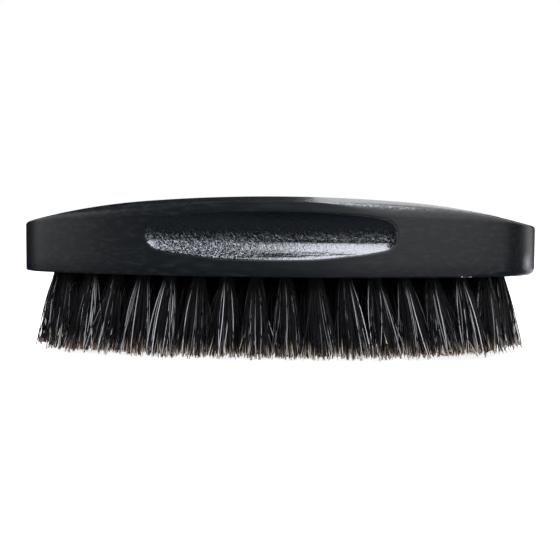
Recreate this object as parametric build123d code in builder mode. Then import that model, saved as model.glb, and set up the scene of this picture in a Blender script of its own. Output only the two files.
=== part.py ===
from build123d import *
from dataclasses import dataclass
from math import atan2, degrees, inf
import os

# Oval palm brush for a beard: one block of wood with a finger groove milled along each
# long side, filled with folded bristle tufts in three concentric rings and a centre row.
# Millimetres. X runs along the brush, Z up, and Z = 0 is the plane of the bristle tips,
# with the origin under the middle of the block.

# The wooden back
LENGTH = 125.0
WIDTH = 50.0
BACK_HEIGHT = 18.5  # wood at the middle of the back
END_HEIGHT = 11.5  # wood at its two ends
END_RADIUS = 15.0  # of the round ends, seen from above
RIDGE_RADIUS = 400.0  # of the flat middle stretch of the back's long curve
RIDGE_REACH = 32.0  # how far that stretch runs each way
CROWN_RADIUS = 220.0  # of the back across its width
EDGE_BREAK = 1.0  # flat that stands for the rounding of its top and bottom edges

# The finger grooves, cut by a ball-nosed cutter that is fed along a shallow arc
GROOVE_RADIUS = 6.0
GROOVE_DEPTH = 3.25
GROOVE_RISE = 9.6  # groove centre above the block's underside
GROOVE_RUN = 55.0  # travel of the cutter's centre
GROOVE_FEED_RADIUS = 600.0

# The drilled pattern
BRISTLE_LENGTH = 18.3  # free length below the wood
RINGS = ("outer", "middle", "inner")
SIDE_MARGIN = 6.5  # outer ring's tuft centres to the block's long sides
END_MARGIN = 8.5  # the same, to its ends
RING_END_RADIUS = 11.0  # of the outer ring's round ends
RING_END_STEP = 6.4  # from ring to ring along the block
TUFT_PITCH = 6.75  # in the outer ring
PITCH_STEP = 0.75  # added for each ring further in
HOLE_RADIUS = 1.45
HOLE_SIDES = 8  # flats that stand for the round drilled wall
HOLE_DEPTH = 8.0

# A tuft is a bundle folded over a flat wire anchor, whose edges cut into its hole's wall.
# A thin slice of the wooden face holds each run of tufts together.
SLICE_THICKNESS = 1.0
SLICE_CLEARANCE = 0.05
ROOT_CLEARANCE = 0.04  # between a folded root's corners and its hole
FOLD_THICKNESS = 0.9
ANCHOR_THICKNESS = 0.35
ANCHOR_HEIGHT = 2.0
ANCHOR_BITE = 0.25  # how far each edge of an anchor cuts into the hole's wall
STRAND_RADIUS = 0.4
STRAND_SIDES = 3
STRAND_SPREAD = 2.0  # from a tuft's axis to its strands' tips, both ways
OUTER_LEAN = 1.8  # how far the outer ring's tips lean out
LEAN_STEP = 0.6  # less for each ring further in
TRIM = 0.5  # cut off the standing bristles to level their tips

BACK_TOP = BRISTLE_LENGTH + BACK_HEIGHT
HOLE_TOP = BRISTLE_LENGTH + HOLE_DEPTH
ANCHOR_TOP = HOLE_TOP - FOLD_THICKNESS
ROOT_WIDTH = (HOLE_RADIUS - ROOT_CLEARANCE) * 2**0.5  # the square that its hole takes
UNDERSIDE = Plane.XY.offset(BRISTLE_LENGTH)


def oval(half_length, half_width, end_radius):
    """The four arcs of a round-ended oval, counter-clockwise, named by where they lie."""
    reach = half_length - end_radius
    side_radius = (half_width**2 + reach**2 - end_radius**2) / (2 * (half_width - end_radius))
    centre = side_radius - half_width
    turn = degrees(atan2(reach, centre))
    return {
        "rear": CenterArc((0, -centre), side_radius, 90 - turn, 2 * turn),
        "left_end": CenterArc((-reach, 0), end_radius, 90 + turn, 180 - 2 * turn),
        "front": CenterArc((0, centre), side_radius, 270 - turn, 2 * turn),
        "right_end": CenterArc((reach, 0), end_radius, turn - 90, 180 - 2 * turn),
    }


def ring_oval(number):
    """The oval of ring 0, 1 or 2 from the outside, or one between them at a half number.
    Across the block the rings are evenly spaced, down to the centre row."""
    share = 1 - number / len(RINGS)
    return oval(
        LENGTH / 2 - END_MARGIN - number * RING_END_STEP,
        (WIDTH / 2 - SIDE_MARGIN) * share,
        RING_END_RADIUS * share,
    )


def slice_sketch(edges):
    """The face of a slice, a little inside its closed outline."""
    with BuildSketch(UNDERSIDE) as face:
        with BuildLine():
            add(edges)
        make_face()
        offset(amount=-SLICE_CLEARANCE, kind=Kind.INTERSECTION, mode=Mode.REPLACE)
    return face.sketch


def spaced(path, pitch):
    """Tuft places on a path, half a pitch in from its ends, each with X along the path."""
    count = round(path.length / pitch)
    places = []
    for number in range(count):
        share = (number + 0.5) / count
        along = path % share
        places.append(Location(path @ share, (0, 0, degrees(atan2(along.Y, along.X)))))
    return places


@dataclass
class Run:
    """A run of tufts that one slice of the wooden face holds together."""

    slice_face: Sketch
    places: list[Location]
    lean: float  # how far its tips lean out
    bend: float  # the radius of its path


def bundle(run):
    """The pieces of one tuft on its own Z axis: its folded root, and four strands that
    spread and lean outward, along -Y. On the inside of a bend they spread less."""
    half = ROOT_WIDTH / 2
    slot = ANCHOR_THICKNESS / 2
    with BuildPart() as root:
        with BuildSketch(Plane.YZ):
            with BuildLine():
                Polyline(
                    (-half, BRISTLE_LENGTH),
                    (-half, HOLE_TOP),
                    (half, HOLE_TOP),
                    (half, BRISTLE_LENGTH),
                    (slot, BRISTLE_LENGTH),
                    (slot, ANCHOR_TOP),
                    (-slot, ANCHOR_TOP),
                    (-slot, BRISTLE_LENGTH),
                    close=True,
                )
            make_face()
        extrude(amount=half, both=True)
    pieces = [root.part]
    rise = BRISTLE_LENGTH + SLICE_THICKNESS / 2
    for along in (-1, 1):
        for across in (-1, 1):
            start = Vector(along * half / 2, across * half / 2, rise)
            tip_y = across * STRAND_SPREAD - run.lean
            tip_x = along * STRAND_SPREAD * (1 - tip_y / run.bend)
            way = Vector(tip_x, tip_y, -TRIM) - start
            with BuildPart() as strand:
                with BuildSketch(Plane.XY.offset(rise)):
                    with Locations(start):
                        RegularPolygon(STRAND_RADIUS, STRAND_SIDES)
                extrude(amount=way.length, dir=way)
            pieces.append(strand.part)
    return pieces


# The runs: four arcs to a ring, each with its band of the face, and the centre row
runs = {}
for number, ring in enumerate(RINGS):
    outer_edge = ring_oval(number - 0.5)
    inner_edge = ring_oval(number + 0.5)
    for side, path in ring_oval(number).items():
        near = outer_edge[side]
        far = inner_edge[side]
        runs[f"{ring}_ring_{side}"] = Run(
            slice_sketch([near, far, Line(near @ 0, far @ 0), Line(near @ 1, far @ 1)]),
            spaced(path, TUFT_PITCH + number * PITCH_STEP),
            OUTER_LEAN - number * LEAN_STEP,
            path.radius,
        )
centre_pitch = TUFT_PITCH + len(RINGS) * PITCH_STEP
half_row = LENGTH / 2 - END_MARGIN - len(RINGS) * RING_END_STEP + centre_pitch / 2
runs["centre_row"] = Run(
    slice_sketch(inner_edge.values()),
    spaced(Line((-half_row, 0), (half_row, 0)), centre_pitch),
    0,
    inf,
)

# The ball-nosed cutter's way along the front of the block
with BuildPart() as finger_groove:
    feed_centre = GROOVE_FEED_RADIUS - WIDTH / 2 - (GROOVE_RADIUS - GROOVE_DEPTH)
    feed_turn = degrees(GROOVE_RUN / 2 / GROOVE_FEED_RADIUS)
    with BuildLine(UNDERSIDE.offset(GROOVE_RISE)) as feed:
        CenterArc((0, feed_centre), GROOVE_FEED_RADIUS, 270 - feed_turn, 2 * feed_turn)
    with BuildSketch(Plane(feed.line @ 0, z_dir=feed.line % 0)):
        Circle(GROOVE_RADIUS)
    sweep(path=feed.line)
    with Locations(feed.line @ 0, feed.line @ 1):
        Sphere(GROOVE_RADIUS)
rear_groove = mirror(finger_groove.part, about=Plane.XZ)

# The block: an oval whose top is crowned along and across, by turning the long curve of
# the back about an axis far below it
axis_height = BACK_TOP - CROWN_RADIUS
ridge_turn = degrees(atan2(RIDGE_REACH, RIDGE_RADIUS))
with BuildPart() as wooden_back:
    with BuildSketch(UNDERSIDE):
        with BuildLine():
            add(oval(LENGTH / 2, WIDTH / 2, END_RADIUS).values())
        make_face()
    extrude(amount=BACK_HEIGHT)

    with BuildSketch(Plane.XZ):
        with BuildLine():
            ridge = CenterArc(
                (0, BACK_TOP - RIDGE_RADIUS), RIDGE_RADIUS, 90 - ridge_turn, 2 * ridge_turn
            )
            right_end = (LENGTH / 2, BRISTLE_LENGTH + END_HEIGHT)
            left_end = (-LENGTH / 2, BRISTLE_LENGTH + END_HEIGHT)
            TangentArc(ridge @ 0, right_end, tangent=-(ridge % 0))
            TangentArc(ridge @ 1, left_end, tangent=ridge % 1)
            Polyline(
                right_end, (LENGTH / 2, axis_height), (-LENGTH / 2, axis_height), left_end
            )
        make_face()
    revolve(axis=Axis((0, 0, axis_height), (1, 0, 0)), mode=Mode.INTERSECT)

    rims = wooden_back.faces().filter_by(GeomType.CYLINDER).edges()
    chamfer(rims.filter_by(Axis.Z, reverse=True), EDGE_BREAK)

    add([finger_groove.part, rear_groove], mode=Mode.SUBTRACT)

    with BuildSketch(UNDERSIDE):
        with BuildLine():
            add(ring_oval(-0.5).values())
        make_face()
    extrude(amount=SLICE_THICKNESS, mode=Mode.SUBTRACT)
    with BuildSketch(UNDERSIDE):
        for run in runs.values():
            with Locations(*run.places):
                RegularPolygon(HOLE_RADIUS, HOLE_SIDES)
    extrude(amount=HOLE_DEPTH, mode=Mode.SUBTRACT)

solids = {"wooden_back": wooden_back.part}
for name, run in runs.items():
    pieces = bundle(run)
    with BuildPart() as tufts:
        add(run.slice_face)
        extrude(amount=SLICE_THICKNESS)
        add([place * piece for place in run.places for piece in pieces])
        split(bisect_by=Plane.XY)
    solids[f"{name}_tufts"] = tufts.part

    with BuildPart() as anchors:
        with Locations(*run.places):
            with Locations((0, 0, ANCHOR_TOP - ANCHOR_HEIGHT / 2)):
                Box(2 * (HOLE_RADIUS + ANCHOR_BITE), ANCHOR_THICKNESS, ANCHOR_HEIGHT)
    solids[f"{name}_anchors"] = anchors.part

os.makedirs("parts", exist_ok=True)
for name, solid in solids.items():
    solid.label = name
    export_step(solid, f"parts/{name}.step")
    print(name, len(solid.solids()), "solids,", round(solid.volume, 1), "mm3")
print(sum(len(run.places) for run in runs.values()), "tufts of four strands")
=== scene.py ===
"""A beard brush: an oval block of black painted wood with a finger groove along each side,
filled with bristle tufts that are trimmed level.

Metres, with X along the brush, Z up and Z = 0 in the plane of the bristle tips.
"""

import itertools
import logging
from dataclasses import dataclass, field
from enum import Enum
from math import asin, atan, atan2, cos, pi, radians, sin
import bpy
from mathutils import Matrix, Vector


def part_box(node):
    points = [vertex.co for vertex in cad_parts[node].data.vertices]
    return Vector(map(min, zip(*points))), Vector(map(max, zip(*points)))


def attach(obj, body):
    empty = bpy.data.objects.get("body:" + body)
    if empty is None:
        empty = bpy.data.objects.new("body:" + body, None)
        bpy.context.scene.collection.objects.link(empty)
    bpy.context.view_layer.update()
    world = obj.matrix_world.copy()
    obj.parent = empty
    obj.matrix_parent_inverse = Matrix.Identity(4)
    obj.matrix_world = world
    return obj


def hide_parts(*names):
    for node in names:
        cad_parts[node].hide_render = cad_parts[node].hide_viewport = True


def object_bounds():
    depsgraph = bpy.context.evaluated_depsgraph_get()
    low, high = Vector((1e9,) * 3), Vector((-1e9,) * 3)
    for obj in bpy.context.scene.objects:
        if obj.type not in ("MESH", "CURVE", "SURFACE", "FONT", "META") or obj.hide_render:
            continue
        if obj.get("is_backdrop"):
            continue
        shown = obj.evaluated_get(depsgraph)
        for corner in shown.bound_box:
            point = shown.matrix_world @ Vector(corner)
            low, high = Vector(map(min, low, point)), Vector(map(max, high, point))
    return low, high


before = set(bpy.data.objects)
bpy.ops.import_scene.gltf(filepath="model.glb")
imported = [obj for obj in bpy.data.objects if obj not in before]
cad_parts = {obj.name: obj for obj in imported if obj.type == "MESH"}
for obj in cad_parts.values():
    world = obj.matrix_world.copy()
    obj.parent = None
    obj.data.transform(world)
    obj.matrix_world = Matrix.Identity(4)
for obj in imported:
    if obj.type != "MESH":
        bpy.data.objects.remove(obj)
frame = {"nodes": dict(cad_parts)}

from types import SimpleNamespace
from typing import Any

import bmesh
import bpy
import numpy as np
from mathutils import Euler, Matrix, Vector

MM = 0.001
END_RADIUS = 15.0 * MM  # of the block's round ends, seen from above
SEED_STEP = 100  # between one run of tufts and the next
LOG = logging.getLogger("beard_brush")

Colour = tuple[float, float, float]
Span = tuple[float, float]  # where a ramp starts and ends, or a factor and an offset
Inputs = dict[int | str, Any]  # what a node's inputs are linked to or set to
Node = bpy.types.Node
Socket = bpy.types.NodeSocket


def placed(name: str, data: Any) -> bpy.types.Object:
    """Puts a new object in the scene.

    Args:
        name: its name.
        data: its mesh, lamp or camera.

    Returns:
        The object.
    """
    piece = bpy.data.objects.new(name, data)
    bpy.context.scene.collection.objects.link(piece)
    return piece


# ---------------------------------------------------------------- node trees


class Wiring:
    """Adds nodes to one tree, each with its inputs set or linked in the same call."""

    def __init__(self, tree: bpy.types.NodeTree) -> None:
        """Args: tree: the tree that gets the nodes."""
        self.tree = tree

    @staticmethod
    def output(source: Any) -> Any:
        """What is linked for a value.

        Args:
            source: a node, a socket or a plain value.

        Returns:
            The socket that a node gives by default, or the value itself.
        """
        if isinstance(source, bpy.types.Node):
            return next(socket for socket in source.outputs if socket.enabled)
        return source

    def feed(self, node: Node, key: int | str, value: Any) -> None:
        """Links or sets one input of a node.

        Args:
            node: the node.
            key: the input's place, identifier or name.
            value: a node, a socket, a solid colour or a plain value.
        """
        if isinstance(key, int):
            socket = node.inputs[key]
        else:
            named = [each for each in node.inputs if each.identifier == key]
            shown = [each for each in node.inputs if each.name == key and each.enabled]
            socket = (named or shown)[0]
        value = self.output(value)
        if isinstance(value, Socket):
            self.tree.links.new(value, socket)
        else:
            socket.default_value = (*value, 1.0) if socket.type == "RGBA" else value

    def fill(self, node: Node, inputs: Inputs) -> Node:
        """Links or sets several inputs of a node.

        Args:
            node: the node.
            inputs: what its inputs are linked to or set to.

        Returns:
            The same node.
        """
        for key, value in inputs.items():
            self.feed(node, key, value)
        return node

    def add(self, kind: str, inputs: Inputs | None = None, **settings: Any) -> Node:
        """Adds a node.

        Args:
            kind: Blender's name for the node's type.
            inputs: what its inputs are linked to or set to.
            settings: the node's own properties.

        Returns:
            The new node.
        """
        node = self.tree.nodes.new(kind)
        for name, value in settings.items():
            setattr(node, name, value)
        return self.fill(node, inputs or {})

    def math(self, operation: str, *values: Any, clamp: bool = False) -> Socket:
        """A number worked out from others.

        Args:
            operation: the Math node's operation.
            values: its inputs in order.
            clamp: whether the result is kept between 0 and 1.

        Returns:
            The result's socket.
        """
        inputs = dict(enumerate(values))
        return self.add("ShaderNodeMath", inputs, operation=operation, use_clamp=clamp).outputs[0]

    def times(self, first: Any, second: Any) -> Socket:
        """Two numbers multiplied."""
        return self.math("MULTIPLY", first, second)

    def plus(self, first: Any, second: Any) -> Socket:
        """Two numbers added up."""
        return self.math("ADD", first, second)

    def minus(self, first: Any, second: Any) -> Socket:
        """The first number less the second."""
        return self.math("SUBTRACT", first, second)

    def vector(self, operation: str, *values: Any) -> Socket:
        """A vector, or the dot product or length of some, worked out from others.

        Args:
            operation: the Vector Math node's operation.
            values: its inputs in order.

        Returns:
            The result's socket.
        """
        node = self.add("ShaderNodeVectorMath", dict(enumerate(values)), operation=operation)
        return node.outputs["Value" if operation in ("DOT_PRODUCT", "LENGTH") else "Vector"]

    def scaled(self, vector: Any, factor: Any) -> Socket:
        """A vector times a number."""
        inputs = {0: vector, "Scale": factor}
        return self.add("ShaderNodeVectorMath", inputs, operation="SCALE").outputs[0]

    def xyz(self, x: Any, y: Any, z: Any = 0.0) -> Node:
        """A vector put together from its parts."""
        return self.add("ShaderNodeCombineXYZ", {"X": x, "Y": y, "Z": z})

    def axes(self, vector: Any) -> Any:
        """The parts of a vector, by their names X, Y and Z."""
        return self.add("ShaderNodeSeparateXYZ", {"Vector": vector}).outputs

    def place(self) -> Socket:
        """The object coordinates, in a material."""
        return self.add("ShaderNodeTexCoord").outputs["Object"]

    def carried(self, name: str) -> Socket:
        """A number that the mesh carries under a name, in a material."""
        return self.add("ShaderNodeAttribute", attribute_name=name).outputs["Fac"]

    def stretched(self, place: Any, *scale: float) -> Node:
        """Coordinates times a number along each axis."""
        return self.add("ShaderNodeMapping", {"Vector": place, "Scale": scale})

    def ramp(
        self, value: Any, start: Any, end: Any, low: Any = 0.0, high: Any = 1.0
    ) -> Socket:
        """A smooth step from low to high as the value goes from start to end."""
        inputs = {"Value": value, "From Min": start, "From Max": end, "To Min": low, "To Max": high}
        return self.add("ShaderNodeMapRange", inputs, interpolation_type="SMOOTHSTEP").outputs[0]

    def noise(self, place: Any, scale: float, detail: float, **inputs: Any) -> Socket:
        """Noise at a place.

        Args:
            place: the coordinates.
            scale: how many features lie along one metre.
            detail: how many finer layers it has.
            inputs: other inputs of the node, by name.

        Returns:
            The noise, from about 0.2 to 0.8.
        """
        inputs |= {"Vector": place, "Scale": scale, "Detail": detail}
        return self.add("ShaderNodeTexNoise", inputs).outputs[0]

    def white_for_view(self) -> Socket:
        """What makes a surface white to the camera only.

        Returns:
            1 where a ray comes from the camera, a gloss or a clear piece, otherwise 0.
        """
        path = self.add("ShaderNodeLightPath").outputs
        seen = self.math("ADD", path["Is Camera Ray"], path["Is Glossy Ray"], clamp=True)
        return self.math("ADD", seen, path["Is Transmission Ray"], clamp=True)

    def blend(self, factor: Any, first: Any, second: Any) -> Socket:
        """A colour between two."""
        inputs = {"Factor_Float": factor, "A_Color": first, "B_Color": second}
        return self.output(self.add("ShaderNodeMix", inputs, data_type="RGBA"))


@dataclass
class Growth:
    """A Geometry Nodes tree with named inputs, and how it is run on a mesh."""

    name: str
    tree: bpy.types.NodeTree = field(init=False)
    wiring: Wiring = field(init=False)
    source: Node = field(init=False)
    identifiers: dict[str, str] = field(default_factory=dict)

    def __post_init__(self) -> None:
        """Makes the tree, with a mesh going in and a mesh coming out."""
        self.tree = bpy.data.node_groups.new(self.name, "GeometryNodeTree")
        for way in ("INPUT", "OUTPUT"):
            kind = "NodeSocketGeometry"
            self.tree.interface.new_socket("Geometry", in_out=way, socket_type=kind)
        self.wiring = Wiring(self.tree)
        self.source = self.wiring.add("NodeGroupInput")

    def inputs(self, values: dict[str, Any]) -> SimpleNamespace:
        """Adds a named input for each value.

        Args:
            values: numbers and materials by name, in small letters with underscores.

        Returns:
            The sockets that give them inside the tree, under the same names.
        """
        kinds = {int: "Int", float: "Float", bpy.types.Material: "Material"}
        for name, value in values.items():
            socket = self.tree.interface.new_socket(
                name.replace("_", " ").title(),
                in_out="INPUT",
                socket_type=f"NodeSocket{kinds[type(value)]}",
            )
            self.identifiers[name] = socket.identifier
        return SimpleNamespace(**dict(zip(values, self.source.outputs[1:])))

    def attribute(self, name: str, kind: str = "FLOAT") -> Socket:
        """What a mesh or curve carries under a name.

        Args:
            name: the name.
            kind: the type that it was stored as.

        Returns:
            Its value.
        """
        inputs = {"Name": name}
        node = self.wiring.add("GeometryNodeInputNamedAttribute", inputs, data_type=kind)
        return node.outputs["Attribute"]

    def store(self, geometry: Any, name: str, value: Socket) -> Node:
        """Keeps a number or a vector with the geometry.

        Args:
            geometry: the geometry.
            name: what the value is kept under.
            value: the number or vector.

        Returns:
            The geometry with it.
        """
        kind = "FLOAT_VECTOR" if value.type == "VECTOR" else "FLOAT"
        inputs = {"Geometry": geometry, "Name": name, "Value": value}
        kinds = {"data_type": kind, "domain": "POINT"}
        return self.wiring.add("GeometryNodeStoreNamedAttribute", inputs, **kinds)

    def finish(self, geometry: Any, material: Socket) -> None:
        """Ends the tree: real geometry, smooth and in its material.

        Args:
            geometry: what the tree has made.
            material: the material.
        """
        real = self.wiring.add("GeometryNodeRealizeInstances", {"Geometry": geometry})
        smooth = self.wiring.add("GeometryNodeSetShadeSmooth", {"Geometry": real})
        inputs = {"Geometry": smooth, "Material": material}
        dressed = self.wiring.add("GeometryNodeSetMaterial", inputs)
        self.wiring.add("NodeGroupOutput", {"Geometry": dressed})

    def run(self, name: str, mesh: bpy.types.Mesh, values: dict[str, Any]) -> bpy.types.Object:
        """Runs the tree on a mesh and keeps the result as a plain mesh.

        Args:
            name: the finished piece's name.
            mesh: what the tree starts from.
            values: the value of each named input.

        Returns:
            The piece, with no modifier left on it.
        """
        seed = placed(f"{name}_start", mesh)
        modifier = seed.modifiers.new(self.name, "NODES")
        modifier.node_group = self.tree
        for key, value in values.items():
            modifier[self.identifiers[key]] = value
        graph = bpy.context.evaluated_depsgraph_get()
        grown = bpy.data.meshes.new_from_object(seed.evaluated_get(graph), depsgraph=graph)
        grown.name = name
        piece = placed(name, grown)
        seed.modifiers.remove(modifier)
        bpy.data.objects.remove(seed)
        return piece


# ---------------------------------------------------------------- finishes


@dataclass(frozen=True)
class Finish:
    """A material with one shader, whose inputs each kind of finish works out."""

    name: str

    def inputs(self, wiring: Wiring) -> Inputs:
        """What the shader gets, in a material's wiring."""
        raise NotImplementedError

    def material(self) -> bpy.types.Material:
        """Makes the material.

        Returns:
            The material, with its shader filled in.
        """
        material = bpy.data.materials.new(self.name)
        material.use_nodes = True
        wiring = Wiring(material.node_tree)
        wiring.fill(material.node_tree.nodes["Principled BSDF"], self.inputs(wiring))
        return material


@dataclass(frozen=True)
class Patch:
    """A small place with a ragged edge, where the paint is chipped or a highlight is painted."""

    centre: tuple[float, float, float]  # in millimetres, as its size is
    size: tuple[float, float, float]
    ragged: float
    edge: Span
    noise_scale: float = 2600

    def share(self, wiring: Wiring, place: Any) -> Socket:
        """Where the patch is.

        Args:
            wiring: the material's wiring.
            place: its coordinates.

        Returns:
            1 in the patch and 0 off it.
        """
        offset = wiring.vector("SUBTRACT", place, tuple(Vector(self.centre) * MM))
        offset = wiring.vector("DIVIDE", offset, tuple(Vector(self.size) * MM))
        noise = wiring.noise(place, self.noise_scale, detail=3)
        reach = wiring.math("MULTIPLY_ADD", noise, self.ragged, wiring.vector("LENGTH", offset))
        return wiring.ramp(reach, *self.edge)


@dataclass(frozen=True)
class Spot:
    """What the paint knows of the place that it covers, and the wiring that tells it."""

    wiring: Wiring
    place: Socket
    axes: Any
    grain_place: Node
    grain: Socket
    crown: Socket
    on_top: Socket
    in_groove: Socket
    low: Socket
    lively: Socket


@dataclass(frozen=True)
class BlackPaint(Finish):
    """Satin black paint on wood: faint grain, open pores, cutter marks and painted glints in
    the grooves, a painted highlight on one end, and a few worn places."""

    name: str = "painted_wood"
    black: Colour = (0.0034, 0.0052, 0.0066)
    worn_black: Colour = (0.0125, 0.0150, 0.0175)
    # painted glints: pale flecks in the grooves that stand in for highlights on the rough paint
    speck: Colour = (0.25, 0.265, 0.295)
    # a painted highlight on the lower corner of the right end
    burnish: Colour = (0.27, 0.275, 0.28)
    bare_wood: Colour = (0.44, 0.39, 0.32)
    groove_edge: Span = (0.01, 0.06)
    top_edge: Span = (0.93, 1.0)
    wall_roughness: float = 0.33
    shoulder_roughness: float = 0.26
    shoulder_reach: float = 0.3
    top_roughness: float = 0.19
    groove_roughness: float = 0.11
    smear: float = 0.06
    smear_scale: float = 60
    gloss: float = 0.72
    handled_share: float = 0.486  # of the gloss, left along the lower edge
    handled_below: Span = (18.0 * MM, 22.5 * MM)
    grain_stretch: float = 0.07
    grain_scale: float = 1500
    grain_height: float = 0.012 * MM
    worn_grain: Span = (0.45, 0.75)
    peel_height: float = 0.014 * MM
    pore_stretch: float = 0.45
    pore_scale: float = 1500
    pore_depth: float = 11.0
    pore_shares: Span = (0.20, 0.65)
    pores_from: Span = (1.0 * MM, 13.0 * MM)
    pebble_scale: float = 1450
    pebble_warp: float = 0.9
    pebble_height: float = 0.230 * MM
    feed_mark_scale: float = 2600
    feed_mark_height: float = 0.030 * MM
    calm_share: float = 0.80
    calm_along: Span = (-13.0 * MM, 4.0 * MM)
    calm_below: Span = (26.9 * MM, 26.1 * MM)
    # where the painted glints lie in the grooves, and their size, slant and edge
    speck_scale: float = 2700
    speck_stretch: float = 1.9
    speck_slant: float = radians(38)
    speck_edge: Span = (0.53, 0.61)
    specks_below: Span = (29.0 * MM, 27.0 * MM)
    faint_specks: float = 0.30
    front_side: Span = (0.0, -1.0 * MM)
    rear_specks: float = 0.35
    # more painted glints toward the lower left end of the groove
    worn_corner: Span = (-22.0 * MM, -27.0 * MM)
    corner_gain: float = 0.12
    # a painted highlight, low on the right end
    rubbed: Patch = Patch((59.8, -8.6, 21.4), (2.0, 2.4, 2.4), 1.5, (2.0, 0.4))
    chipped: Patch = Patch((45.2, -17.1, 18.4), (4.5, 1.5, 0.5), 4.0, (2.1, 1.9))

    def inputs(self, wiring: Wiring) -> Inputs:
        """The paint.

        Args:
            wiring: the material's wiring.

        Returns:
            What the shader gets. It reads how deep the cutter went from "cut" and how near
            the top edge a place is from "crown".
        """
        spot = self.survey(wiring)
        kept = wiring.ramp(spot.axes["Z"], *self.handled_below, self.handled_share, 1.0)
        return {
            "Normal": self.relief(spot),
            "Roughness": self.roughness(spot),
            "Specular IOR Level": wiring.times(kept, self.gloss),
            "Base Color": self.colour(spot),
        }

    def survey(self, wiring: Wiring) -> Spot:
        """Works out what kind of place is being painted.

        Args:
            wiring: the material's wiring.

        Returns:
            What the relief, the roughness and the colour all go by.
        """
        place, crown = wiring.place(), wiring.carried("crown")
        axes = wiring.axes(place)
        in_groove = wiring.ramp(wiring.carried("cut"), *self.groove_edge)
        low = wiring.ramp(axes["Z"], *self.calm_below)
        calm = wiring.times(low, wiring.ramp(axes["X"], *self.calm_along))
        rough = wiring.math("MULTIPLY_ADD", calm, -self.calm_share, 1.0)
        grain_place = wiring.stretched(place, self.grain_stretch, 1.0, 1.0)
        return Spot(
            wiring,
            place,
            axes,
            grain_place,
            grain=wiring.noise(grain_place, self.grain_scale, detail=4),
            crown=crown,
            on_top=wiring.ramp(crown, *self.top_edge),
            in_groove=in_groove,
            low=low,
            lively=wiring.times(in_groove, rough),
        )

    def relief(self, spot: Spot) -> Node:
        """The grain, the orange peel with the wood's open pores, and the cutter's marks.

        Args:
            spot: the place.

        Returns:
            The normal that they give.
        """
        wiring = spot.wiring
        height = wiring.times(spot.grain, self.grain_height)
        open_pores = wiring.ramp(spot.axes["X"], *self.pores_from)
        open_pores = wiring.ramp(open_pores, 0.0, 1.0, *self.pore_shares)
        open_pores = wiring.ramp(spot.on_top, 0.0, 1.0, 1.0, open_pores)
        deepened = wiring.times(wiring.times(spot.crown, open_pores), self.pore_depth)
        pore_place = wiring.stretched(spot.place, self.pore_stretch, 1.0, 1.0)
        peel = wiring.noise(pore_place, self.pore_scale, detail=3)
        warp = {"Distortion": self.pebble_warp}
        pebble = wiring.noise(spot.place, self.pebble_scale, detail=2.5, **warp)
        feed_marks = wiring.noise(spot.grain_place, self.feed_mark_scale, detail=2)
        for pattern, share, rise in (
            (peel, wiring.plus(deepened, 1.0), self.peel_height),
            (pebble, spot.lively, self.pebble_height),
            (feed_marks, spot.in_groove, self.feed_mark_height),
        ):
            height = wiring.math("MULTIPLY_ADD", wiring.times(pattern, share), rise, height)
        return wiring.add("ShaderNodeBump", {"Distance": 1.0, "Height": height})

    def roughness(self, spot: Spot) -> Socket:
        """How rough the paint is.

        Args:
            spot: the place.

        Returns:
            Its roughness, smeared a little by handling.
        """
        wiring, rough = spot.wiring, self.wall_roughness
        for share, end, value in (
            (spot.crown, self.shoulder_reach, self.shoulder_roughness),
            (spot.on_top, 1.0, self.top_roughness),
            (spot.in_groove, 1.0, self.groove_roughness),
        ):
            rough = wiring.ramp(share, 0.0, end, rough, value)
        smears = wiring.noise(spot.place, self.smear_scale, detail=3)
        return wiring.math("MULTIPLY_ADD", smears, self.smear, rough)

    def colour(self, spot: Spot) -> Socket:
        """The paint's colour.

        Args:
            spot: the place.

        Returns:
            Its colour, with the painted glints, the painted highlight and the worn places.
        """
        wiring, axes = spot.wiring, spot.axes
        worn = wiring.ramp(spot.grain, *self.worn_grain)
        worn = wiring.times(worn, wiring.minus(1.0, spot.in_groove))
        colour = wiring.blend(worn, self.black, self.worn_black)
        # Painted glints: pale flecks in the groove's lower half, most on the front and toward its
        # lower left end, that stand in for highlights on the rough paint.
        strokes = {
            "Vector": spot.place,
            "Rotation": (0, self.speck_slant, 0),
            "Scale": (self.speck_stretch, 1.0, 1.0),
        }
        slanted = wiring.add("ShaderNodeMapping", strokes, vector_type="TEXTURE")
        # More of the painted glints toward the lower left end of the groove.
        corner = wiring.times(spot.low, wiring.ramp(axes["X"], *self.worn_corner))
        noise = wiring.noise(slanted, self.speck_scale, detail=2)
        found = wiring.math("MULTIPLY_ADD", corner, self.corner_gain, noise)
        glints = wiring.ramp(found, *self.speck_edge)
        for share in (
            wiring.ramp(axes["Z"], *self.specks_below),
            wiring.ramp(spot.low, 0.0, 1.0, self.faint_specks, 1.0),
            wiring.ramp(axes["Y"], *self.front_side, self.rear_specks, 1.0),
            spot.lively,
        ):
            glints = wiring.times(glints, share)
        colour = wiring.blend(glints, colour, self.speck)
        # A painted highlight on the lower corner of the right end, then a real chip of bare wood.
        colour = wiring.blend(self.rubbed.share(wiring, spot.place), colour, self.burnish)
        return wiring.blend(self.chipped.share(wiring, spot.place), colour, self.bare_wood)


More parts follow.
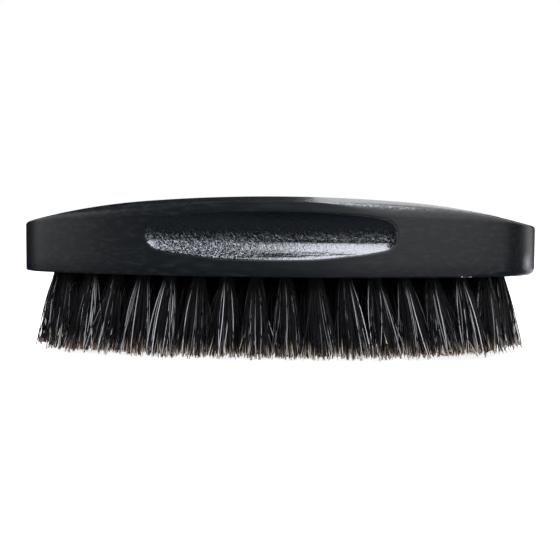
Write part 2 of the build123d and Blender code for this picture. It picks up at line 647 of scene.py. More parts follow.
@dataclass(frozen=True)
class BristleFinish(Finish):
    """Dyed bristle: black along its length, paler at the cut tip, with some grey and white ones
    that are partly pale hairs and partly painted glints, and black at the root as painted shade.
    """

    name: str = "bristle"
    black: Colour = (0.0060, 0.0060, 0.0068)
    dark_grey: Colour = (0.10, 0.10, 0.105)
    # grey and white bristles: partly real pale hairs and partly painted glints along the bristles
    grey: Colour = (0.84, 0.83, 0.85)
    white: Colour = (0.86, 0.85, 0.84)
    brown: Colour = (0.16, 0.065, 0.035)
    cream: Colour = (0.90, 0.78, 0.62)
    grey_share: float = 0.11
    white_share: float = 0.025
    step: float = 0.01
    # pale bristles turn black toward the root: painted shade under the block
    dyed_along: Span = (0.05, 0.30)
    fade_from: Span = (0.20, 0.74)
    undyed: Span = (0.35, 0.50)
    creamy: Span = (0.55, 0.85)
    cut_end: Span = (0.965, 0.975)
    pale_ends: Span = (0.62, 0.70)
    roughness: Span = (-0.15, 0.42)
    gloss: float = 0.4

    def inputs(self, wiring: Wiring) -> Inputs:
        """The bristles.

        Args:
            wiring: the material's wiring.

        Returns:
            What the shader gets. It reads how far down a bristle a place is from "along" and
            a number of its own for each bristle from "random" and "tint".
        """
        along, random, tint = (wiring.carried(name) for name in ("along", "random", "tint"))
        body, palest = self.black, 1 - self.white_share
        grey = wiring.blend(tint, self.dark_grey, self.grey)
        # Grey and white bristles, partly real pale hairs and partly painted glints.
        for share, hue in ((palest - self.grey_share, grey), (palest, self.white)):
            body = wiring.blend(wiring.ramp(random, share, share + self.step), body, hue)
        # Painted shade under the block: every bristle is black near its root.
        root_shade = wiring.ramp(along, *self.dyed_along)
        body = wiring.blend(root_shade, self.black, body)
        fade = wiring.math("MULTIPLY_ADD", random, *self.fade_from)
        fade = wiring.times(wiring.ramp(along, fade, 1.0), wiring.ramp(tint, *self.undyed))
        tip = wiring.blend(wiring.ramp(tint, *self.creamy), self.brown, self.cream)
        colour = wiring.blend(fade, body, tip)
        cut_end = wiring.ramp(along, *self.cut_end)
        cut_end = wiring.times(cut_end, wiring.ramp(tint, *self.pale_ends))
        return {
            "Base Color": wiring.blend(cut_end, colour, self.cream),
            "Roughness": wiring.math("MULTIPLY_ADD", random, *self.roughness),
            "Specular IOR Level": self.gloss,
        }


@dataclass(frozen=True)
class AnchorWire(Finish):
    """Drawn steel wire, flattened, with fine marks along it."""

    name: str = "anchor_wire"
    bright: Colour = (0.62, 0.61, 0.59)
    dull: Colour = (0.34, 0.33, 0.32)
    mark_stretch: float = 0.1
    mark_scale: float = 9000
    roughness: Span = (0.2, 0.28)

    def inputs(self, wiring: Wiring) -> Inputs:
        """The wire.

        Args:
            wiring: the material's wiring.

        Returns:
            What the shader gets.
        """
        drawn = wiring.stretched(wiring.place(), self.mark_stretch, self.mark_stretch, 1.0)
        marks = wiring.noise(drawn, self.mark_scale, detail=3)
        return {
            "Base Color": wiring.blend(marks, self.dull, self.bright),
            "Roughness": wiring.math("MULTIPLY_ADD", marks, *self.roughness),
            "Metallic": 1.0,
        }


# ---------------------------------------------------------------- plan of the brush


class Side(Enum):
    """The four arcs of an oval, in the order that they follow each other."""

    REAR = "rear"
    LEFT_END = "left_end"
    FRONT = "front"
    RIGHT_END = "right_end"


@dataclass(frozen=True)
class Arc:
    """Part of a circle in the XY plane."""

    centre: tuple[float, float]
    radius: float
    start: float
    sweep: float

    def places(self, angles: np.ndarray) -> tuple[np.ndarray, np.ndarray]:
        """Points on the arc.

        Args:
            angles: where, measured about its centre.

        Returns:
            The points and their outward directions, a row for each.
        """
        outward = np.stack((np.cos(angles), np.sin(angles)), axis=1)
        return np.array(self.centre) + self.radius * outward, outward


@dataclass(frozen=True)
class Oval:
    """A round-ended oval about the origin: two long flat arcs and two tight ones."""

    half_length: float
    half_width: float
    end_radius: float

    def arcs(self) -> dict[Side, Arc]:
        """Works out the four arcs.

        Returns:
            The arcs by side, counter-clockwise from the right of the rear one.
        """
        reach = self.half_length - self.end_radius
        rise = self.half_width**2 + reach**2 - self.end_radius**2
        side_radius = rise / (2 * (self.half_width - self.end_radius))
        centre = side_radius - self.half_width
        turn = atan2(reach, centre)
        return {
            Side.REAR: Arc((0, -centre), side_radius, pi / 2 - turn, 2 * turn),
            Side.LEFT_END: Arc((-reach, 0), self.end_radius, pi / 2 + turn, pi - 2 * turn),
            Side.FRONT: Arc((0, centre), side_radius, 3 * pi / 2 - turn, 2 * turn),
            Side.RIGHT_END: Arc((reach, 0), self.end_radius, turn - pi / 2, pi - 2 * turn),
        }


@dataclass(frozen=True)
class TuftRun:
    """A row of tufts along one arc of a ring, or the straight row in the middle."""

    name: str
    centres: np.ndarray
    leans: np.ndarray

    def mesh(self) -> bpy.types.Mesh:
        """Where the tufts grow from.

        Returns:
            A mesh with a loose point at each tuft, which carries the lean of its tips.
        """
        points = bpy.data.meshes.new(f"{self.name}_places")
        points.from_pydata([tuple(centre) for centre in self.centres], [], [])
        lean = points.attributes.new("lean", "FLOAT_VECTOR", "POINT")
        lean.data.foreach_set("vector", self.leans.astype(np.float32).ravel())
        return points


@dataclass
class DrilledPattern:
    """Where the tufts are: three oval rings and a centre row, evenly spaced across."""

    block: Oval
    underside: float
    rings: tuple[str, ...] = ("outer", "middle", "inner")
    side_margin: float = 6.5 * MM
    end_margin: float = 8.5 * MM
    end_radius: float = 11.0 * MM
    end_step: float = 6.4 * MM
    pitch: float = 6.75 * MM
    pitch_step: float = 0.75 * MM
    outer_lean: float = 1.8 * MM
    lean_step: float = 0.6 * MM
    swept_share: float = 0.08
    swept_from: float = -8.0 * MM
    swept_most: float = 3.0 * MM

    def runs(self) -> list[TuftRun]:
        """Lays the tufts out.

        Returns:
            Every run, named as its CAD nodes are.
        """
        runs = []
        for number, ring in enumerate(self.rings):
            share = 1 - number / len(self.rings)
            oval = Oval(
                self.block.half_length - self.end_margin - number * self.end_step,
                (self.block.half_width - self.side_margin) * share,
                self.end_radius * share,
            )
            pitch = self.pitch + number * self.pitch_step
            lean = self.outer_lean - number * self.lean_step
            for side, arc in oval.arcs().items():
                count = round(arc.radius * arc.sweep / pitch)
                shares = (np.arange(count) + 0.5) / count
                points, outward = arc.places(arc.start + shares * arc.sweep)
                leans = outward * lean
                if side in (Side.FRONT, Side.REAR):
                    swept = self.swept_share * (points[:, 0] - self.swept_from)
                    leans[:, 0] += np.clip(swept, -self.swept_most, self.swept_most)
                runs.append(self.run(f"{ring}_ring_{side.value}", points, leans))
        rings = len(self.rings)
        pitch = self.pitch + rings * self.pitch_step
        row_end = self.block.half_length - self.end_margin - rings * self.end_step
        half_row = row_end + pitch / 2
        count = round(2 * half_row / pitch)
        x = ((np.arange(count) + 0.5) / count * 2 - 1) * half_row
        runs.append(self.run("centre_row", np.stack((x, 0 * x), axis=1), np.zeros((count, 2))))
        return runs

    def run(self, name: str, points: np.ndarray, leans: np.ndarray) -> TuftRun:
        """A run from its plan.

        Args:
            name: its name.
            points: where its tufts are, in the plane.
            leans: how far their tips lean, in the plane.

        Returns:
            The run, on the underside of the block.
        """
        count = len(points)
        centres = np.column_stack((points, np.full(count, self.underside)))
        return TuftRun(name, centres, np.column_stack((leans, np.zeros(count))))


# ---------------------------------------------------------------- wooden back


def eased(
    values: np.ndarray, start: float, end: float, low: float, high: float
) -> np.ndarray:
    """A smooth step from low at the start to high at the end."""
    share = np.clip((values - start) / (end - start), 0, 1)
    return low + (high - low) * share * share * (3 - 2 * share)


@dataclass(frozen=True)
class Groove:
    """A ball-nosed cutter's way along one side, and how soft it leaves the groove's rim."""

    radius: float = 6.0 * MM
    depth: float = 3.25 * MM
    run: float = 52.6 * MM
    feed: float = 600.0 * MM
    rim: float = 0.35 * MM
    lip: float = 2.1 * MM
    lip_top: float = -0.7
    lip_from: float = 8.0 * MM
    lip_to: float = 20.0 * MM


@dataclass
class WoodenBack:
    """The block of wood, its two finger grooves and the holes in its underside."""

    pattern: DrilledPattern
    finish: BlackPaint
    block: Oval
    underside: float
    top: float
    end_height: float = 11.5 * MM
    ridge_radius: float = 400.0 * MM
    ridge_reach: float = 32.0 * MM
    crown_radius: float = 220.0 * MM
    middle_rounding: float = 0.04 * MM
    flank_from: Span = (8.0 * MM, 30.0 * MM)
    flank_rounding: float = 2.4 * MM
    end_from: Span = (34.0 * MM, 60.0 * MM)
    end_rounding: float = 0.6 * MM
    bottom_rounding: float = 0.35 * MM
    bottom_end_from: Span = (44.0 * MM, 60.0 * MM)
    bottom_end_rounding: float = 1.7 * MM
    groove: Groove = Groove()
    groove_rise: float = 9.6 * MM
    hole_radius: float = 1.45 * MM
    hole_depth: float = 8.0 * MM
    hole_rim: float = 0.15 * MM
    hole_sides: int = 16
    fine_step: float = 0.30 * MM  # along the grooves, and a little past their ends
    fine_margin: float = 1.0 * MM
    coarse_step: float = 1.0 * MM
    wall_rows: int = 68
    rounding_rows: int = 6
    crown_rows: int = 18
    spine_share: float = 0.62
    sharp_edge: float = radians(35)
    weld: float = 0.001 * MM

    def height(self, x: np.ndarray, y: np.ndarray) -> np.ndarray:
        """The top surface: the long curve of the back, turned about an axis far below it.

        Args:
            x: places along the block.
            y: places across it.

        Returns:
            Their heights.
        """
        along = np.abs(x)
        ridge_end = self.ridge_radius * sin(atan(self.ridge_reach / self.ridge_radius))
        below, square = self.top - self.ridge_radius, self.ridge_radius**2
        ridge = below + np.sqrt(square - np.minimum(along, ridge_end) ** 2)
        start = Vector((ridge_end, below + (square - ridge_end**2) ** 0.5))
        end = Vector((self.block.half_length, self.underside + self.end_height))
        inward = (Vector((0, below)) - start).normalized()
        chord = end - start
        radius = chord.length_squared / (2 * chord.dot(inward))
        centre = start + inward * radius
        shoulder = centre.y + np.sqrt(np.maximum(radius**2 - (along - centre.x) ** 2, 0))
        profile = np.where(along < ridge_end, ridge, shoulder)
        axis = self.top - self.crown_radius
        return axis + np.sqrt((profile - axis) ** 2 - y**2)

    def outline(self) -> tuple[np.ndarray, np.ndarray, np.ndarray]:
        """Places round the block, closer together along the grooves.

        Returns:
            The arcs' centres, radii and outward directions at each place.
        """
        centres, radii, outwards = [], [], []
        groove_reach = self.groove.run / 2 + self.groove.radius + self.fine_margin
        for side, arc in self.block.arcs().items():
            half = arc.sweep / 2
            if side in (Side.FRONT, Side.REAR):
                fine = asin(groove_reach / arc.radius)
                steps = round(2 * fine * arc.radius / self.fine_step)
                middle = np.linspace(-fine, fine, steps)
                steps = round((half - fine) * arc.radius / self.coarse_step)
                flank = np.linspace(fine, half, steps)
                angles = np.concatenate((-flank[::-1], middle[1:-1], flank))[:-1]
            else:
                steps = round(half * arc.radius / self.coarse_step)
                angles = np.linspace(-half, half, 1 + 2 * steps)[:-1]
            points, outward = arc.places(arc.start + half + angles)
            centres.append(points - arc.radius * outward)
            radii.append(np.full(len(angles), arc.radius))
            outwards.append(outward)
        return np.concatenate(centres), np.concatenate(radii), np.concatenate(outwards)

    def loops(self) -> tuple[list[np.ndarray], list[float]]:
        """The block's skin as closed loops, from the underside's edge up to the ridge.

        Returns:
            The loops' points, and how much each belongs to the crowned top, from 0 to 1.
        """
        centres, radii, outward = self.outline()

        def plan(inset: float | np.ndarray) -> np.ndarray:
            """The outline, moved in by an inset."""
            return centres + (radii - inset)[:, None] * outward

        wall = plan(0)
        x, along = wall[:, 0], np.abs(wall[:, 0])
        flatter = self.end_rounding - self.flank_rounding
        rounding = eased(along, *self.flank_from, self.middle_rounding, self.flank_rounding)
        rounding += eased(along, *self.end_from, 0.0, flatter)
        bottom = eased(
            x, *self.bottom_end_from, self.bottom_rounding, self.bottom_end_rounding
        )
        loops, crowned = [], []
        quarter = np.linspace(0, pi / 2, self.rounding_rows)
        for turn in quarter:
            xy = plan(bottom * (1 - sin(turn)))
            loops.append(np.column_stack((xy, self.underside + bottom * (1 - cos(turn)))))
            crowned.append(0.0)
        low = self.underside + bottom
        high = self.height(wall[:, 0], wall[:, 1]) - rounding
        for share in np.linspace(0, 1, self.wall_rows)[1:-1]:
            loops.append(np.column_stack((wall, low + share * (high - low))))
            crowned.append(0.0)
        for turn in quarter:
            xy = plan(rounding * (1 - cos(turn)))
            z = self.height(xy[:, 0], xy[:, 1]) - rounding * (1 - sin(turn))
            loops.append(np.column_stack((xy, z)))
            crowned.append(sin(turn))
        edge = plan(rounding)
        for share in np.linspace(0, 1, self.crown_rows)[1:]:
            xy = edge * (1 - share * (1 - self.spine_share), 1 - share)
            loops.append(np.column_stack((xy, self.height(xy[:, 0], xy[:, 1]))))
            crowned.append(1.0)
        return loops, crowned

    def block_mesh(self) -> bpy.types.Mesh:
        """The block before the grooves are cut.

        Returns:
            Its skin, and its underside with the holes.
        """
        loops, crowned = self.loops()
        count = len(loops[0])
        following = np.roll(np.arange(count), -1).tolist()
        faces = [
            (row + here, row + there, row + count + there, row + count + here)
            for row in range(0, (len(loops) - 1) * count, count)
            for here, there in enumerate(following)
        ]
        mesh = bpy.data.meshes.new("wooden_block")
        mesh.from_pydata(np.concatenate(loops).tolist(), [], faces)
        crown = mesh.attributes.new("crown", "FLOAT", "POINT")
        crown.data.foreach_set("value", np.repeat(np.array(crowned, np.float32), count))
        shell = bmesh.new()
        shell.from_mesh(mesh)
        low = self.underside + self.hole_rim
        rim = [edge for edge in shell.edges if edge.is_boundary and edge.verts[0].co.z < low]
        for run in self.pattern.runs():
            for centre in run.centres:
                rim += self.drill(shell, centre)
        bmesh.ops.triangle_fill(shell, edges=rim, use_beauty=True)
        bmesh.ops.remove_doubles(shell, verts=shell.verts, dist=self.weld)
        bmesh.ops.recalc_face_normals(shell, faces=shell.faces)
        for edge in shell.edges:
            edge.smooth = edge.calc_face_angle(pi) < self.sharp_edge
        shell.to_mesh(mesh)
        shell.free()
        return mesh

    def drill(
        self, shell: bmesh.types.BMesh, centre: np.ndarray
    ) -> list[bmesh.types.BMEdge]:
        """Adds one blind hole, with a slightly broken rim.

        Args:
            shell: the block.
            centre: the middle of the hole's mouth.

        Returns:
            The edges of its mouth.
        """
        rings = (
            (self.hole_radius + self.hole_rim, 0.0),
            (self.hole_radius, self.hole_rim),
            (self.hole_radius, self.hole_depth),
        )
        x, y, z = centre
        angles = [2 * pi * side / self.hole_sides for side in range(self.hole_sides)]
        corners = [
            [shell.verts.new((x + r * cos(a), y + r * sin(a), z + rise)) for a in angles]
            for r, rise in rings
        ]
        for low, high in zip(corners, corners[1:]):
            for side in range(self.hole_sides):
                shell.faces.new((low[side], low[side - 1], high[side - 1], high[side]))
        shell.faces.new(corners[-1])
        mouth = corners[0]
        return [shell.edges.get((mouth[side], mouth[side - 1])) for side in range(len(mouth))]

    def cutter(self, measures: dict[str, Any]) -> Growth:
        """The tree that presses a ball-nosed cutter's way into both long sides.

        Args:
            measures: the value of each named input.

        Returns:
            The tree.
        """
        growth = Growth("finger_grooves")
        given, wiring = growth.inputs(measures), growth.wiring
        axes = wiring.axes(wiring.add("GeometryNodeInputPosition"))
        track = wiring.plus(given.half_width, wiring.minus(given.radius, given.depth))
        across = wiring.math("ABSOLUTE", axes["Y"])
        across = wiring.plus(across, wiring.minus(given.feed, track))
        limit = wiring.math("DIVIDE", wiring.math("DIVIDE", given.run, 2.0), given.feed)
        angle = wiring.math("MINIMUM", wiring.math("ARCTAN2", axes["X"], across), limit)
        angle = wiring.math("MAXIMUM", angle, wiring.times(limit, -1.0))
        sine, cosine = wiring.math("SINE", angle), wiring.math("COSINE", angle)
        outward = wiring.xyz(sine, cosine)
        tangent = wiring.xyz(cosine, wiring.times(sine, -1.0))
        place = wiring.xyz(axes["X"], across)
        from_path = wiring.vector("SUBTRACT", place, wiring.scaled(outward, given.feed))
        now = wiring.times(wiring.vector("DOT_PRODUCT", from_path, outward), -1.0)
        beyond = wiring.vector("DOT_PRODUCT", from_path, tangent)
        rise = wiring.minus(axes["Z"], given.level)
        spent = wiring.plus(wiring.times(beyond, beyond), wiring.times(rise, rise))
        left = wiring.minus(wiring.times(given.radius, given.radius), spent)
        ball = wiring.math("SQRT", wiring.math("MAXIMUM", left, 0.0))
        reach = wiring.math("ABSOLUTE", axes["X"])
        lip = wiring.ramp(reach, given.lip_from, given.lip_to, given.lip, given.rim)
        lip_top = wiring.times(given.radius, given.lip_top)
        soft = wiring.ramp(rise, lip_top, 0.0, lip, given.rim)
        inward = wiring.minus(wiring.math("SMOOTH_MAX", now, ball, soft), now)
        push = wiring.scaled(outward, wiring.times(inward, -1.0))
        push = wiring.vector("MULTIPLY", push, wiring.xyz(1.0, wiring.math("SIGN", axes["Y"])))
        share = wiring.math("DIVIDE", inward, given.depth, clamp=True)
        marked = growth.store(growth.source.outputs["Geometry"], "cut", share)
        moved = wiring.add("GeometryNodeSetPosition", {"Geometry": marked, "Offset": push})
        growth.finish(moved, given.paint)
        return growth

    def build(self) -> bpy.types.Object:
        """Makes the piece.

        Returns:
            The wooden back, in its paint.
        """
        measures = vars(self.groove) | {
            "half_width": self.block.half_width,
            "level": self.underside + self.groove_rise,
            "paint": self.finish.material(),
        }
        piece = self.cutter(measures).run("carved_back", self.block_mesh(), measures)
        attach(piece, "root")
        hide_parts("wooden_back")
        return piece


# ---------------------------------------------------------------- bristles


@dataclass(frozen=True)
class Fan:
    """How the bristles of a tuft spread from its hole to their tips."""

    tip_radius: float
    fan_power: float
    stray_share: float
    stray_reach: float
    stray_power: float
    # the most of a bristle's random draw; lower in the inner rows, so they have fewer pale bristles
    # as painted shade
    palest: float


@dataclass
class Bristles:
    """The tufts: bundles of bristles that come out of a hole close together and fan out."""

    pattern: DrilledPattern
    finish: BristleFinish
    free_length: float
    per_tuft: int = 230
    segments: int = 7
    sides: int = 3
    bristle_radius: float = 0.105 * MM
    taper: float = -0.10
    seat: float = 3.2 * MM
    root_radius: float = 1.34 * MM
    edge_fan: Fan = Fan(3.7 * MM, 0.95, 0.06, 4.2 * MM, 1.0, 1.0)
    # the inner rows have fewer pale bristles: painted shade
    inner_fan: Fan = Fan(5.0 * MM, 0.30, 0.25, 6.5 * MM, 0.18, 0.860)
    tip_scatter: float = 0.9 * MM
    bow: float = 0.75 * MM
    trim_start: float = -1.1 * MM
    trim_scatter: float = 0.9 * MM
    trim_curve: float = 87.0
    trim_power: float = 4.0
    trim_slope: float = 0.008
    wisp_trim: float = 1.2 * MM
    short_share: float = 0.07
    short_length: float = 4.0 * MM
    wisp_size: float = 1.1 * MM
    wisp_pull: float = 0.42
    seed: int = 7

    def tree(self, measures: dict[str, Any]) -> Growth:
        """The tree that grows a bundle from each point of a mesh.

        Args:
            measures: the value of each named input.

        Returns:
            The tree.
        """
        growth = Growth("bristle_tufts")
        given = growth.inputs(measures)
        bristles = self.hang(growth, given, self.scatter(growth, given))
        growth.finish(bristles, given.bristle)
        return growth

    @staticmethod
    def scatter(growth: Growth, given: SimpleNamespace) -> Node:
        """Gives each bristle of a bundle its root and its tip.

        Args:
            growth: the tree.
            given: its inputs.

        Returns:
            A point for each bristle, which carries all that is its own.
        """
        wiring = growth.wiring
        index, drawn = wiring.add("GeometryNodeInputIndex"), itertools.count()

        def pick(low: float = 0.0, high: float = 1.0) -> Socket:
            """Draws at random.

            Args:
                low: the least that a draw gives.
                high: the most.

            Returns:
                A number of its own for each bristle.
            """
            seed = wiring.plus(given.seed, float(next(drawn)))
            inputs = {"Min_001": low, "Max_001": high, "ID": index, "Seed": seed}
            return wiring.add("FunctionNodeRandomValue", inputs, data_type="FLOAT").outputs[1]

        def sideways(reach: Any) -> Socket:
            """A level vector of its own for each bristle, up to a reach both ways."""
            return wiring.scaled(wiring.xyz(pick(-1.0), pick(-1.0)), reach)

        start = {"Geometry": growth.source.outputs["Geometry"], "Amount": given.per_tuft}
        each = wiring.add("GeometryNodeDuplicateElements", start, domain="POINT")
        angle, far = pick(0.0, 2 * pi), wiring.math("SQRT", pick())
        disc = wiring.xyz(wiring.math("COSINE", angle), wiring.math("SINE", angle))
        disc = wiring.scaled(disc, far)
        stray = wiring.math("LESS_THAN", pick(), given.stray_share)
        tip = wiring.scaled(disc, given.tip_radius)
        for shift in (
            sideways(given.tip_scatter),
            growth.attribute("lean", "FLOAT_VECTOR"),
            sideways(wiring.times(stray, given.stray_reach)),
        ):
            tip = wiring.vector("ADD", tip, shift)
        centre = wiring.add("GeometryNodeInputPosition")
        spread = wiring.vector("ADD", tip, centre)
        wisps = {"Vector": spread, "Scale": wiring.math("DIVIDE", 1.0, given.wisp_size)}
        wisp = wiring.add("ShaderNodeTexVoronoi", wisps, voronoi_dimensions="2D").outputs
        pull = wiring.times(given.wisp_pull, wiring.minus(1.0, stray))
        pull = wiring.scaled(wiring.vector("SUBTRACT", wisp["Position"], spread), pull)
        tip = wiring.vector("MULTIPLY", wiring.vector("ADD", tip, pull), (1.0, 1.0, 0.0))

        short = wiring.times(wiring.math("LESS_THAN", pick(), given.short_share), pick())
        lost = wiring.math("MULTIPLY_ADD", pick(), given.trim_scatter, given.trim_start)
        lengthwise = wiring.axes(centre)["X"]
        outer = wiring.math("POWER", wiring.math("ABSOLUTE", lengthwise), given.trim_power)
        for share, length in (
            (wiring.axes(wisp["Color"])["X"], given.wisp_trim),
            (outer, given.trim_curve),
            (wiring.math("MAXIMUM", lengthwise, 0.0), given.trim_slope),
            (short, given.short_length),
        ):
            lost = wiring.math("MULTIPLY_ADD", share, length, lost)

        carried = {
            "root": wiring.scaled(disc, given.root_radius),
            "tip": tip,
            "curve": sideways(given.bow),
            "lost": lost,
            "power": wiring.ramp(stray, 0.0, 1.0, given.fan_power, given.stray_power),
            # the inner rows' lower palest leaves them fewer pale bristles: painted shade
            "random": wiring.times(pick(), given.palest),
            "tint": pick(),
        }
        for name, value in carried.items():
            each = growth.store(each, name, value)
        return each

    @staticmethod
    def hang(growth: Growth, given: SimpleNamespace, points: Node) -> Node:
        """Hangs a bristle from each point.

        Args:
            growth: the tree.
            given: its inputs.
            points: the points.

        Returns:
            The bristles.
        """
        wiring, vectors = growth.wiring, "FLOAT_VECTOR"
        down = {"End": (0.0, 0.0, 1.0)}
        line = wiring.add("GeometryNodeCurvePrimitiveLine", down, mode="POINTS")
        steps = wiring.plus(given.segments, 1.0)
        stem = wiring.add("GeometryNodeResampleCurve", {"Curve": line, "Count": steps})
        inputs = {"Points": points, "Instance": stem}
        stems = wiring.add("GeometryNodeInstanceOnPoints", inputs)
        stems = wiring.add("GeometryNodeRealizeInstances", {"Geometry": stems})

        share = wiring.add("GeometryNodeSplineParameter").outputs["Factor"]
        hung = wiring.minus(given.free_length, growth.attribute("lost"))
        fallen = wiring.times(share, wiring.plus(hung, given.seat))
        below = wiring.math("DIVIDE", wiring.minus(fallen, given.seat), hung, clamp=True)
        root = growth.attribute("root", vectors)
        level = wiring.vector("SUBTRACT", growth.attribute("tip", vectors), root)
        level = wiring.scaled(level, wiring.math("POWER", below, growth.attribute("power")))
        level = wiring.vector("ADD", level, root)
        swing = wiring.math("SINE", wiring.times(below, pi))
        swing = wiring.scaled(growth.attribute("curve", vectors), swing)
        level = wiring.vector("ADD", level, swing)
        drop = wiring.minus(wiring.minus(given.seat, fallen), share)
        shift = wiring.vector("ADD", level, wiring.xyz(0.0, 0.0, drop))
        hanging = wiring.add("GeometryNodeSetPosition", {"Geometry": stems, "Offset": shift})
        circle = {"Resolution": given.sides, "Radius": 1.0}
        taper = wiring.math("MULTIPLY_ADD", below, given.taper, 1.0)
        inputs = {
            "Curve": growth.store(hanging, "along", below),
            "Profile Curve": wiring.add(
                "GeometryNodeCurvePrimitiveCircle", circle, mode="RADIUS"
            ),
            "Scale": wiring.times(given.bristle_radius, taper),
            "Fill Caps": True,
        }
        return wiring.add("GeometryNodeCurveToMesh", inputs)

    def build(self) -> list[bpy.types.Object]:
        """Makes the pieces.

        Returns:
            A piece of bristles for each run of tufts.
        """
        own = {key: value for key, value in vars(self).items() if isinstance(value, (int, float))}
        own["bristle"] = self.finish.material()
        tree, pieces = self.tree(own | vars(self.edge_fan)), []
        for number, run in enumerate(self.pattern.runs()):
            edge = run.name.startswith(self.pattern.rings[0])
            fan = self.edge_fan if edge else self.inner_fan
            measures = own | vars(fan) | {"seed": self.seed + SEED_STEP * number}
            piece = tree.run(f"{run.name}_bristles", run.mesh(), measures)
            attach(piece, "root")
            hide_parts(f"{run.name}_tufts")
            pieces.append(piece)
        return pieces


@dataclass
class Anchors:
    """The flat wires that hold the tufts, which stay as the CAD model has them."""

    finish: AnchorWire
    ending: str = "_anchors"

    def dress(self, nodes: dict[str, bpy.types.Object]) -> list[bpy.types.Object]:
        """Puts the wire's material on every anchor.

        Args:
            nodes: the CAD nodes by name.

        Returns:
            The anchors' nodes.
        """
        material = self.finish.material()
        anchors = [node for name, node in sorted(nodes.items()) if name.endswith(self.ending)]
        for node in anchors:
            node.data.materials.clear()
            node.data.materials.append(material)
        return anchors


# ---------------------------------------------------------------- studio


@dataclass(frozen=True)
class PaleFloor(Finish):
    """Pale paper that is white to the camera, and blends into the white round it."""

    name: str = "floor"
    colour: Colour = (0.80, 0.80, 0.80)
    roughness: float = 0.9
    lift: float = 0.88
    lift_from: Span = (0.12, 0.60)

    def inputs(self, wiring: Wiring) -> Inputs:
        """The paper.

        Args:
            wiring: the material's wiring.

        Returns:
            What the shader gets.
        """
        away = wiring.vector("LENGTH", wiring.place())
        lift = wiring.ramp(away, *self.lift_from, self.lift, 1.0)
        return {
            "Base Color": self.colour,
            "Roughness": self.roughness,
            "Specular IOR Level": 0.0,
            "Emission Color": (1.0, 1.0, 1.0),
            "Emission Strength": wiring.times(wiring.white_for_view(), lift),
        }


@dataclass(frozen=True)
class DarkCard(Finish):
    """Card that is dark from its front and clear from behind, and fades overhead."""

    colour: Colour
    overhead: float
    far_colour: Colour = (0.010, 0.012, 0.014)
    near_reach: Span = (0.10, 0.20)
    fade: Span = (-0.25, 0.10)

    def inputs(self, wiring: Wiring) -> Inputs:
        """The card.

        Args:
            wiring: the material's wiring.

        Returns:
            What the shader gets.
        """
        place = wiring.place()
        axes = wiring.axes(place)
        away = wiring.ramp(wiring.vector("LENGTH", place), *self.near_reach)
        behind = wiring.add("ShaderNodeNewGeometry").outputs["Backfacing"]
        overhead = wiring.math("GREATER_THAN", axes["Z"], self.overhead)
        clear = wiring.times(overhead, wiring.ramp(axes["X"], *self.fade))
        return {
            "Base Color": wiring.blend(away, self.colour, self.far_colour),
            "Roughness": 1.0,
            "Specular IOR Level": 0.0,
            "Alpha": wiring.times(wiring.minus(1.0, behind), wiring.minus(1.0, clear)),
        }


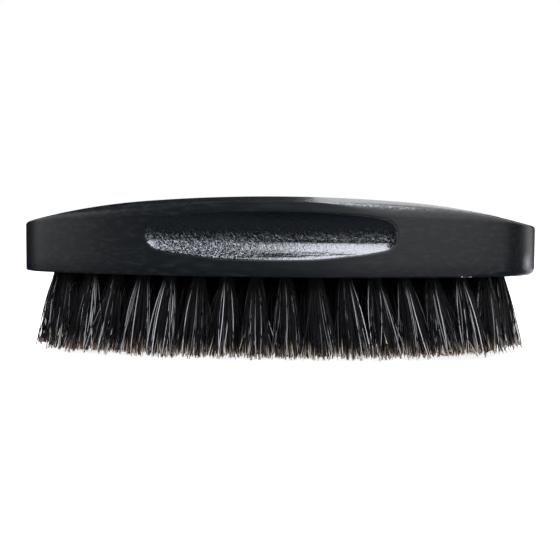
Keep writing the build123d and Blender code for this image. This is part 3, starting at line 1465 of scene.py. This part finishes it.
@dataclass
class Studio:
    """A pale floor, a white surround, dark cards, a soft box and the camera."""

    floor_reach: float = 6.0
    floor_level: float = -1.1 * MM
    surround: float = 0.35
    lamp_colour: Colour = (0.86, 0.90, 1.0)
    box_place: tuple[float, float, float] = (0.06, -0.26, 0.58)
    box_size: Span = (0.20, 0.98)
    box_power: float = 7.4
    flat_card: Colour = (0.090, 0.098, 0.105)
    standing_card: Colour = (0.010, 0.012, 0.014)
    card_reach: float = 0.60
    card_lift: float = 0.8 * MM
    card_steps: int = 240
    card_heights: tuple[tuple[float, float, float], ...] = (  # bearings in degrees, height
        (-178.5, -138, 0.62),
        (-138, -99, 0.20),
        (-54, -18, 0.62),
        (-18, 12, 0.24),
        (60, 105, 0.24),
        (129, 168, 0.24),
    )
    flat_gap: Span = (108, 129)
    ceiling: float = 0.63
    ceiling_edge: float = 0.10
    camera_distance: float = 0.280
    camera_height: float = 0.0337
    camera_turn: float = radians(4.3)
    camera_pitch: float = radians(3.58)
    camera_yaw: float = radians(0.15)
    camera_roll: float = radians(0.4)
    lens: float = 72.95

    def floor(self) -> None:
        """A wide floor that is white to the camera and keeps the brush's shadow."""
        r, z = self.floor_reach, self.floor_level
        mesh = bpy.data.meshes.new("floor")
        mesh.from_pydata([(-r, -r, z), (r, -r, z), (r, r, z), (-r, r, z)], [], [(0, 1, 2, 3)])
        mesh.materials.append(PaleFloor().material())
        piece = placed("floor", mesh)
        piece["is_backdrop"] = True

    def cards(self) -> None:
        """Dark cards round the brush, which only its gloss sees: a flat one just above the
        floor, and standing ones with gaps between them and a ceiling, dark on the inside."""
        points, faces, kinds = [], [], []
        turn, lift = 360 / self.card_steps, self.card_lift
        for step in range(self.card_steps):
            bearing = turn * step - 180
            here, after = (
                (self.card_reach * sin(radians(way)), -self.card_reach * cos(radians(way)))
                for way in (bearing, bearing + turn)
            )
            corner = len(points)
            points += [(*here, lift), (*after, lift), (0, 0, lift)]
            if not self.flat_gap[0] <= bearing < self.flat_gap[1]:
                faces.append((corner, corner + 1, corner + 2))
                kinds.append(0)
            for start, end, height in self.card_heights:
                if start <= bearing < end:
                    points += [(*after, height), (*here, height)]
                    faces.append((corner + 1, corner, corner + 4, corner + 3))
                    kinds.append(1)
        r, edge, z = self.card_reach, self.ceiling_edge, self.ceiling
        corner = len(points)
        points += [(-r, -r, z), (-r, r, z), (edge, r, z), (edge, -r, z)]
        faces.append((corner, corner + 1, corner + 2, corner + 3))
        kinds.append(1)
        mesh = bpy.data.meshes.new("dark_cards")
        mesh.from_pydata(points, [], faces)
        for name, colour in (("flat", self.flat_card), ("standing", self.standing_card)):
            card = DarkCard(f"{name}_card", colour, self.ceiling - MM)
            mesh.materials.append(card.material())
        mesh.polygons.foreach_set("material_index", kinds)
        cards = placed("dark_cards", mesh)
        cards.visible_camera = cards.visible_diffuse = cards.visible_shadow = False
        cards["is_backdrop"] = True

    def world(self) -> None:
        """White to the camera and in reflections, and a soft fill for the rest."""
        world = bpy.data.worlds.new("surround")
        world.use_nodes = True
        wiring = Wiring(world.node_tree)
        strength = wiring.ramp(wiring.white_for_view(), 0.0, 1.0, self.surround, 1.0)
        inputs = {"Color": (1.0, 1.0, 1.0), "Strength": strength}
        wiring.fill(world.node_tree.nodes["Background"], inputs)
        world.cycles.sampling_method = "NONE"
        bpy.context.scene.world = world

    def lamp(self) -> None:
        """Hangs a long soft box level above the brush, mostly to its right."""
        light = bpy.data.lights.new("soft_box", "AREA")
        light.shape = "RECTANGLE"
        light.size, light.size_y = self.box_size
        light.energy = self.box_power
        light.color = self.lamp_colour
        lamp = placed("soft_box", light)
        lamp.location = self.box_place
        lamp.visible_camera = False

    def camera(self) -> None:
        """The camera, at the height of the block and a little to the right."""
        data = bpy.data.cameras.new("camera")
        data.lens = self.lens
        data.sensor_width = 36.0
        data.clip_start = 0.01
        data.clip_end = 100.0
        camera = placed("camera", data)
        turn = self.camera_turn
        camera.location = (
            self.camera_distance * sin(turn),
            -self.camera_distance * cos(turn),
            self.camera_height,
        )
        heading = Euler((pi / 2 - self.camera_pitch, 0, turn - self.camera_yaw)).to_matrix()
        rolled = heading @ Matrix.Rotation(self.camera_roll, 3, "Z")
        camera.rotation_euler = rolled.to_euler()
        bpy.context.scene.camera = camera

    def build(self) -> None:
        """Sets the studio up."""
        self.floor()
        self.cards()
        self.world()
        self.lamp()
        self.camera()
        bpy.context.scene.view_settings.view_transform = "Standard"


# ---------------------------------------------------------------- the whole brush


def corners() -> list[list[float]]:
    """The lowest and highest corner of what is shown, as plain lists."""
    return [list(corner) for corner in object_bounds()]


def main() -> None:
    """Builds the brush and the studio, and logs how many faces each new piece has."""
    logging.basicConfig(level=logging.INFO, format="%(name)s: %(message)s")
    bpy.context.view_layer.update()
    lowest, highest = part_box("wooden_back")
    block = Oval((highest.x - lowest.x) / 2, (highest.y - lowest.y) / 2, END_RADIUS)
    pattern = DrilledPattern(block, lowest.z)

    back = WoodenBack(pattern, BlackPaint(), block, lowest.z, highest.z).build()
    LOG.info("%s: %d faces", back.name, len(back.data.polygons))
    for piece in Bristles(pattern, BristleFinish(), free_length=lowest.z).build():
        LOG.info("%s: %d faces", piece.name, len(piece.data.polygons))
    for node in Anchors(AnchorWire()).dress(frame["nodes"]):
        LOG.info("%s: as in the CAD model", node.name)
    Studio().build()


if __name__ == "__main__":
    main()
